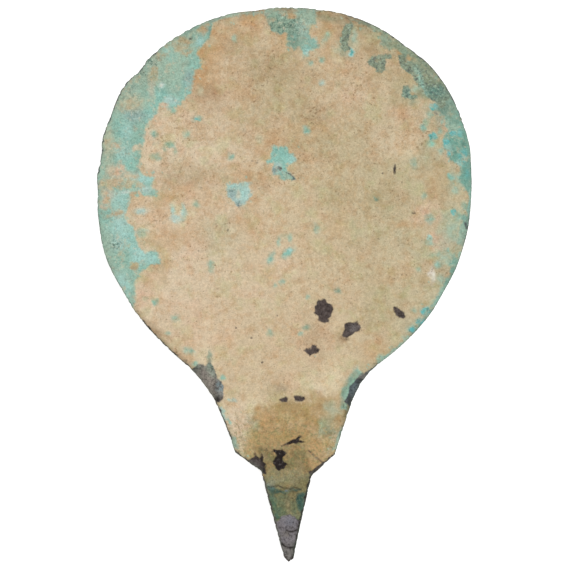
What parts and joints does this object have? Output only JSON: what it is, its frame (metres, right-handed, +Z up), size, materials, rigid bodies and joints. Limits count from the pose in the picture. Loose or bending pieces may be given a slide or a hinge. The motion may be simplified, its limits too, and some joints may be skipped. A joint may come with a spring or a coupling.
{
  "type": "etruscan hand mirror",
  "caption": "Ancient cast bronze hand mirror: a pear-shaped, gently domed disc with a bevelled edge, a short neck, sloping shoulders and a pointed tang for a lost handle.",
  "frame": {"origin": "on the ground, below the middle of the mirror's bounding box as it lies on its back", "axes": "+Z up, out of the domed mirror face; +Y from the tang towards the crown of the disc; +X to the right seen from above with the tang towards the viewer"},
  "size_m": [0.1499, 0.222, 0.0048],
  "materials": {
    "patinated_bronze": "dull sandy beige burial crust over cast bronze, with turquoise and dark green corrosion along the edges, brown-violet bare spots and an olive-ochre tang"
  },
  "bodies": {
    "root": {"mirror": "patinated_bronze"}
  },
  "joints": []
}
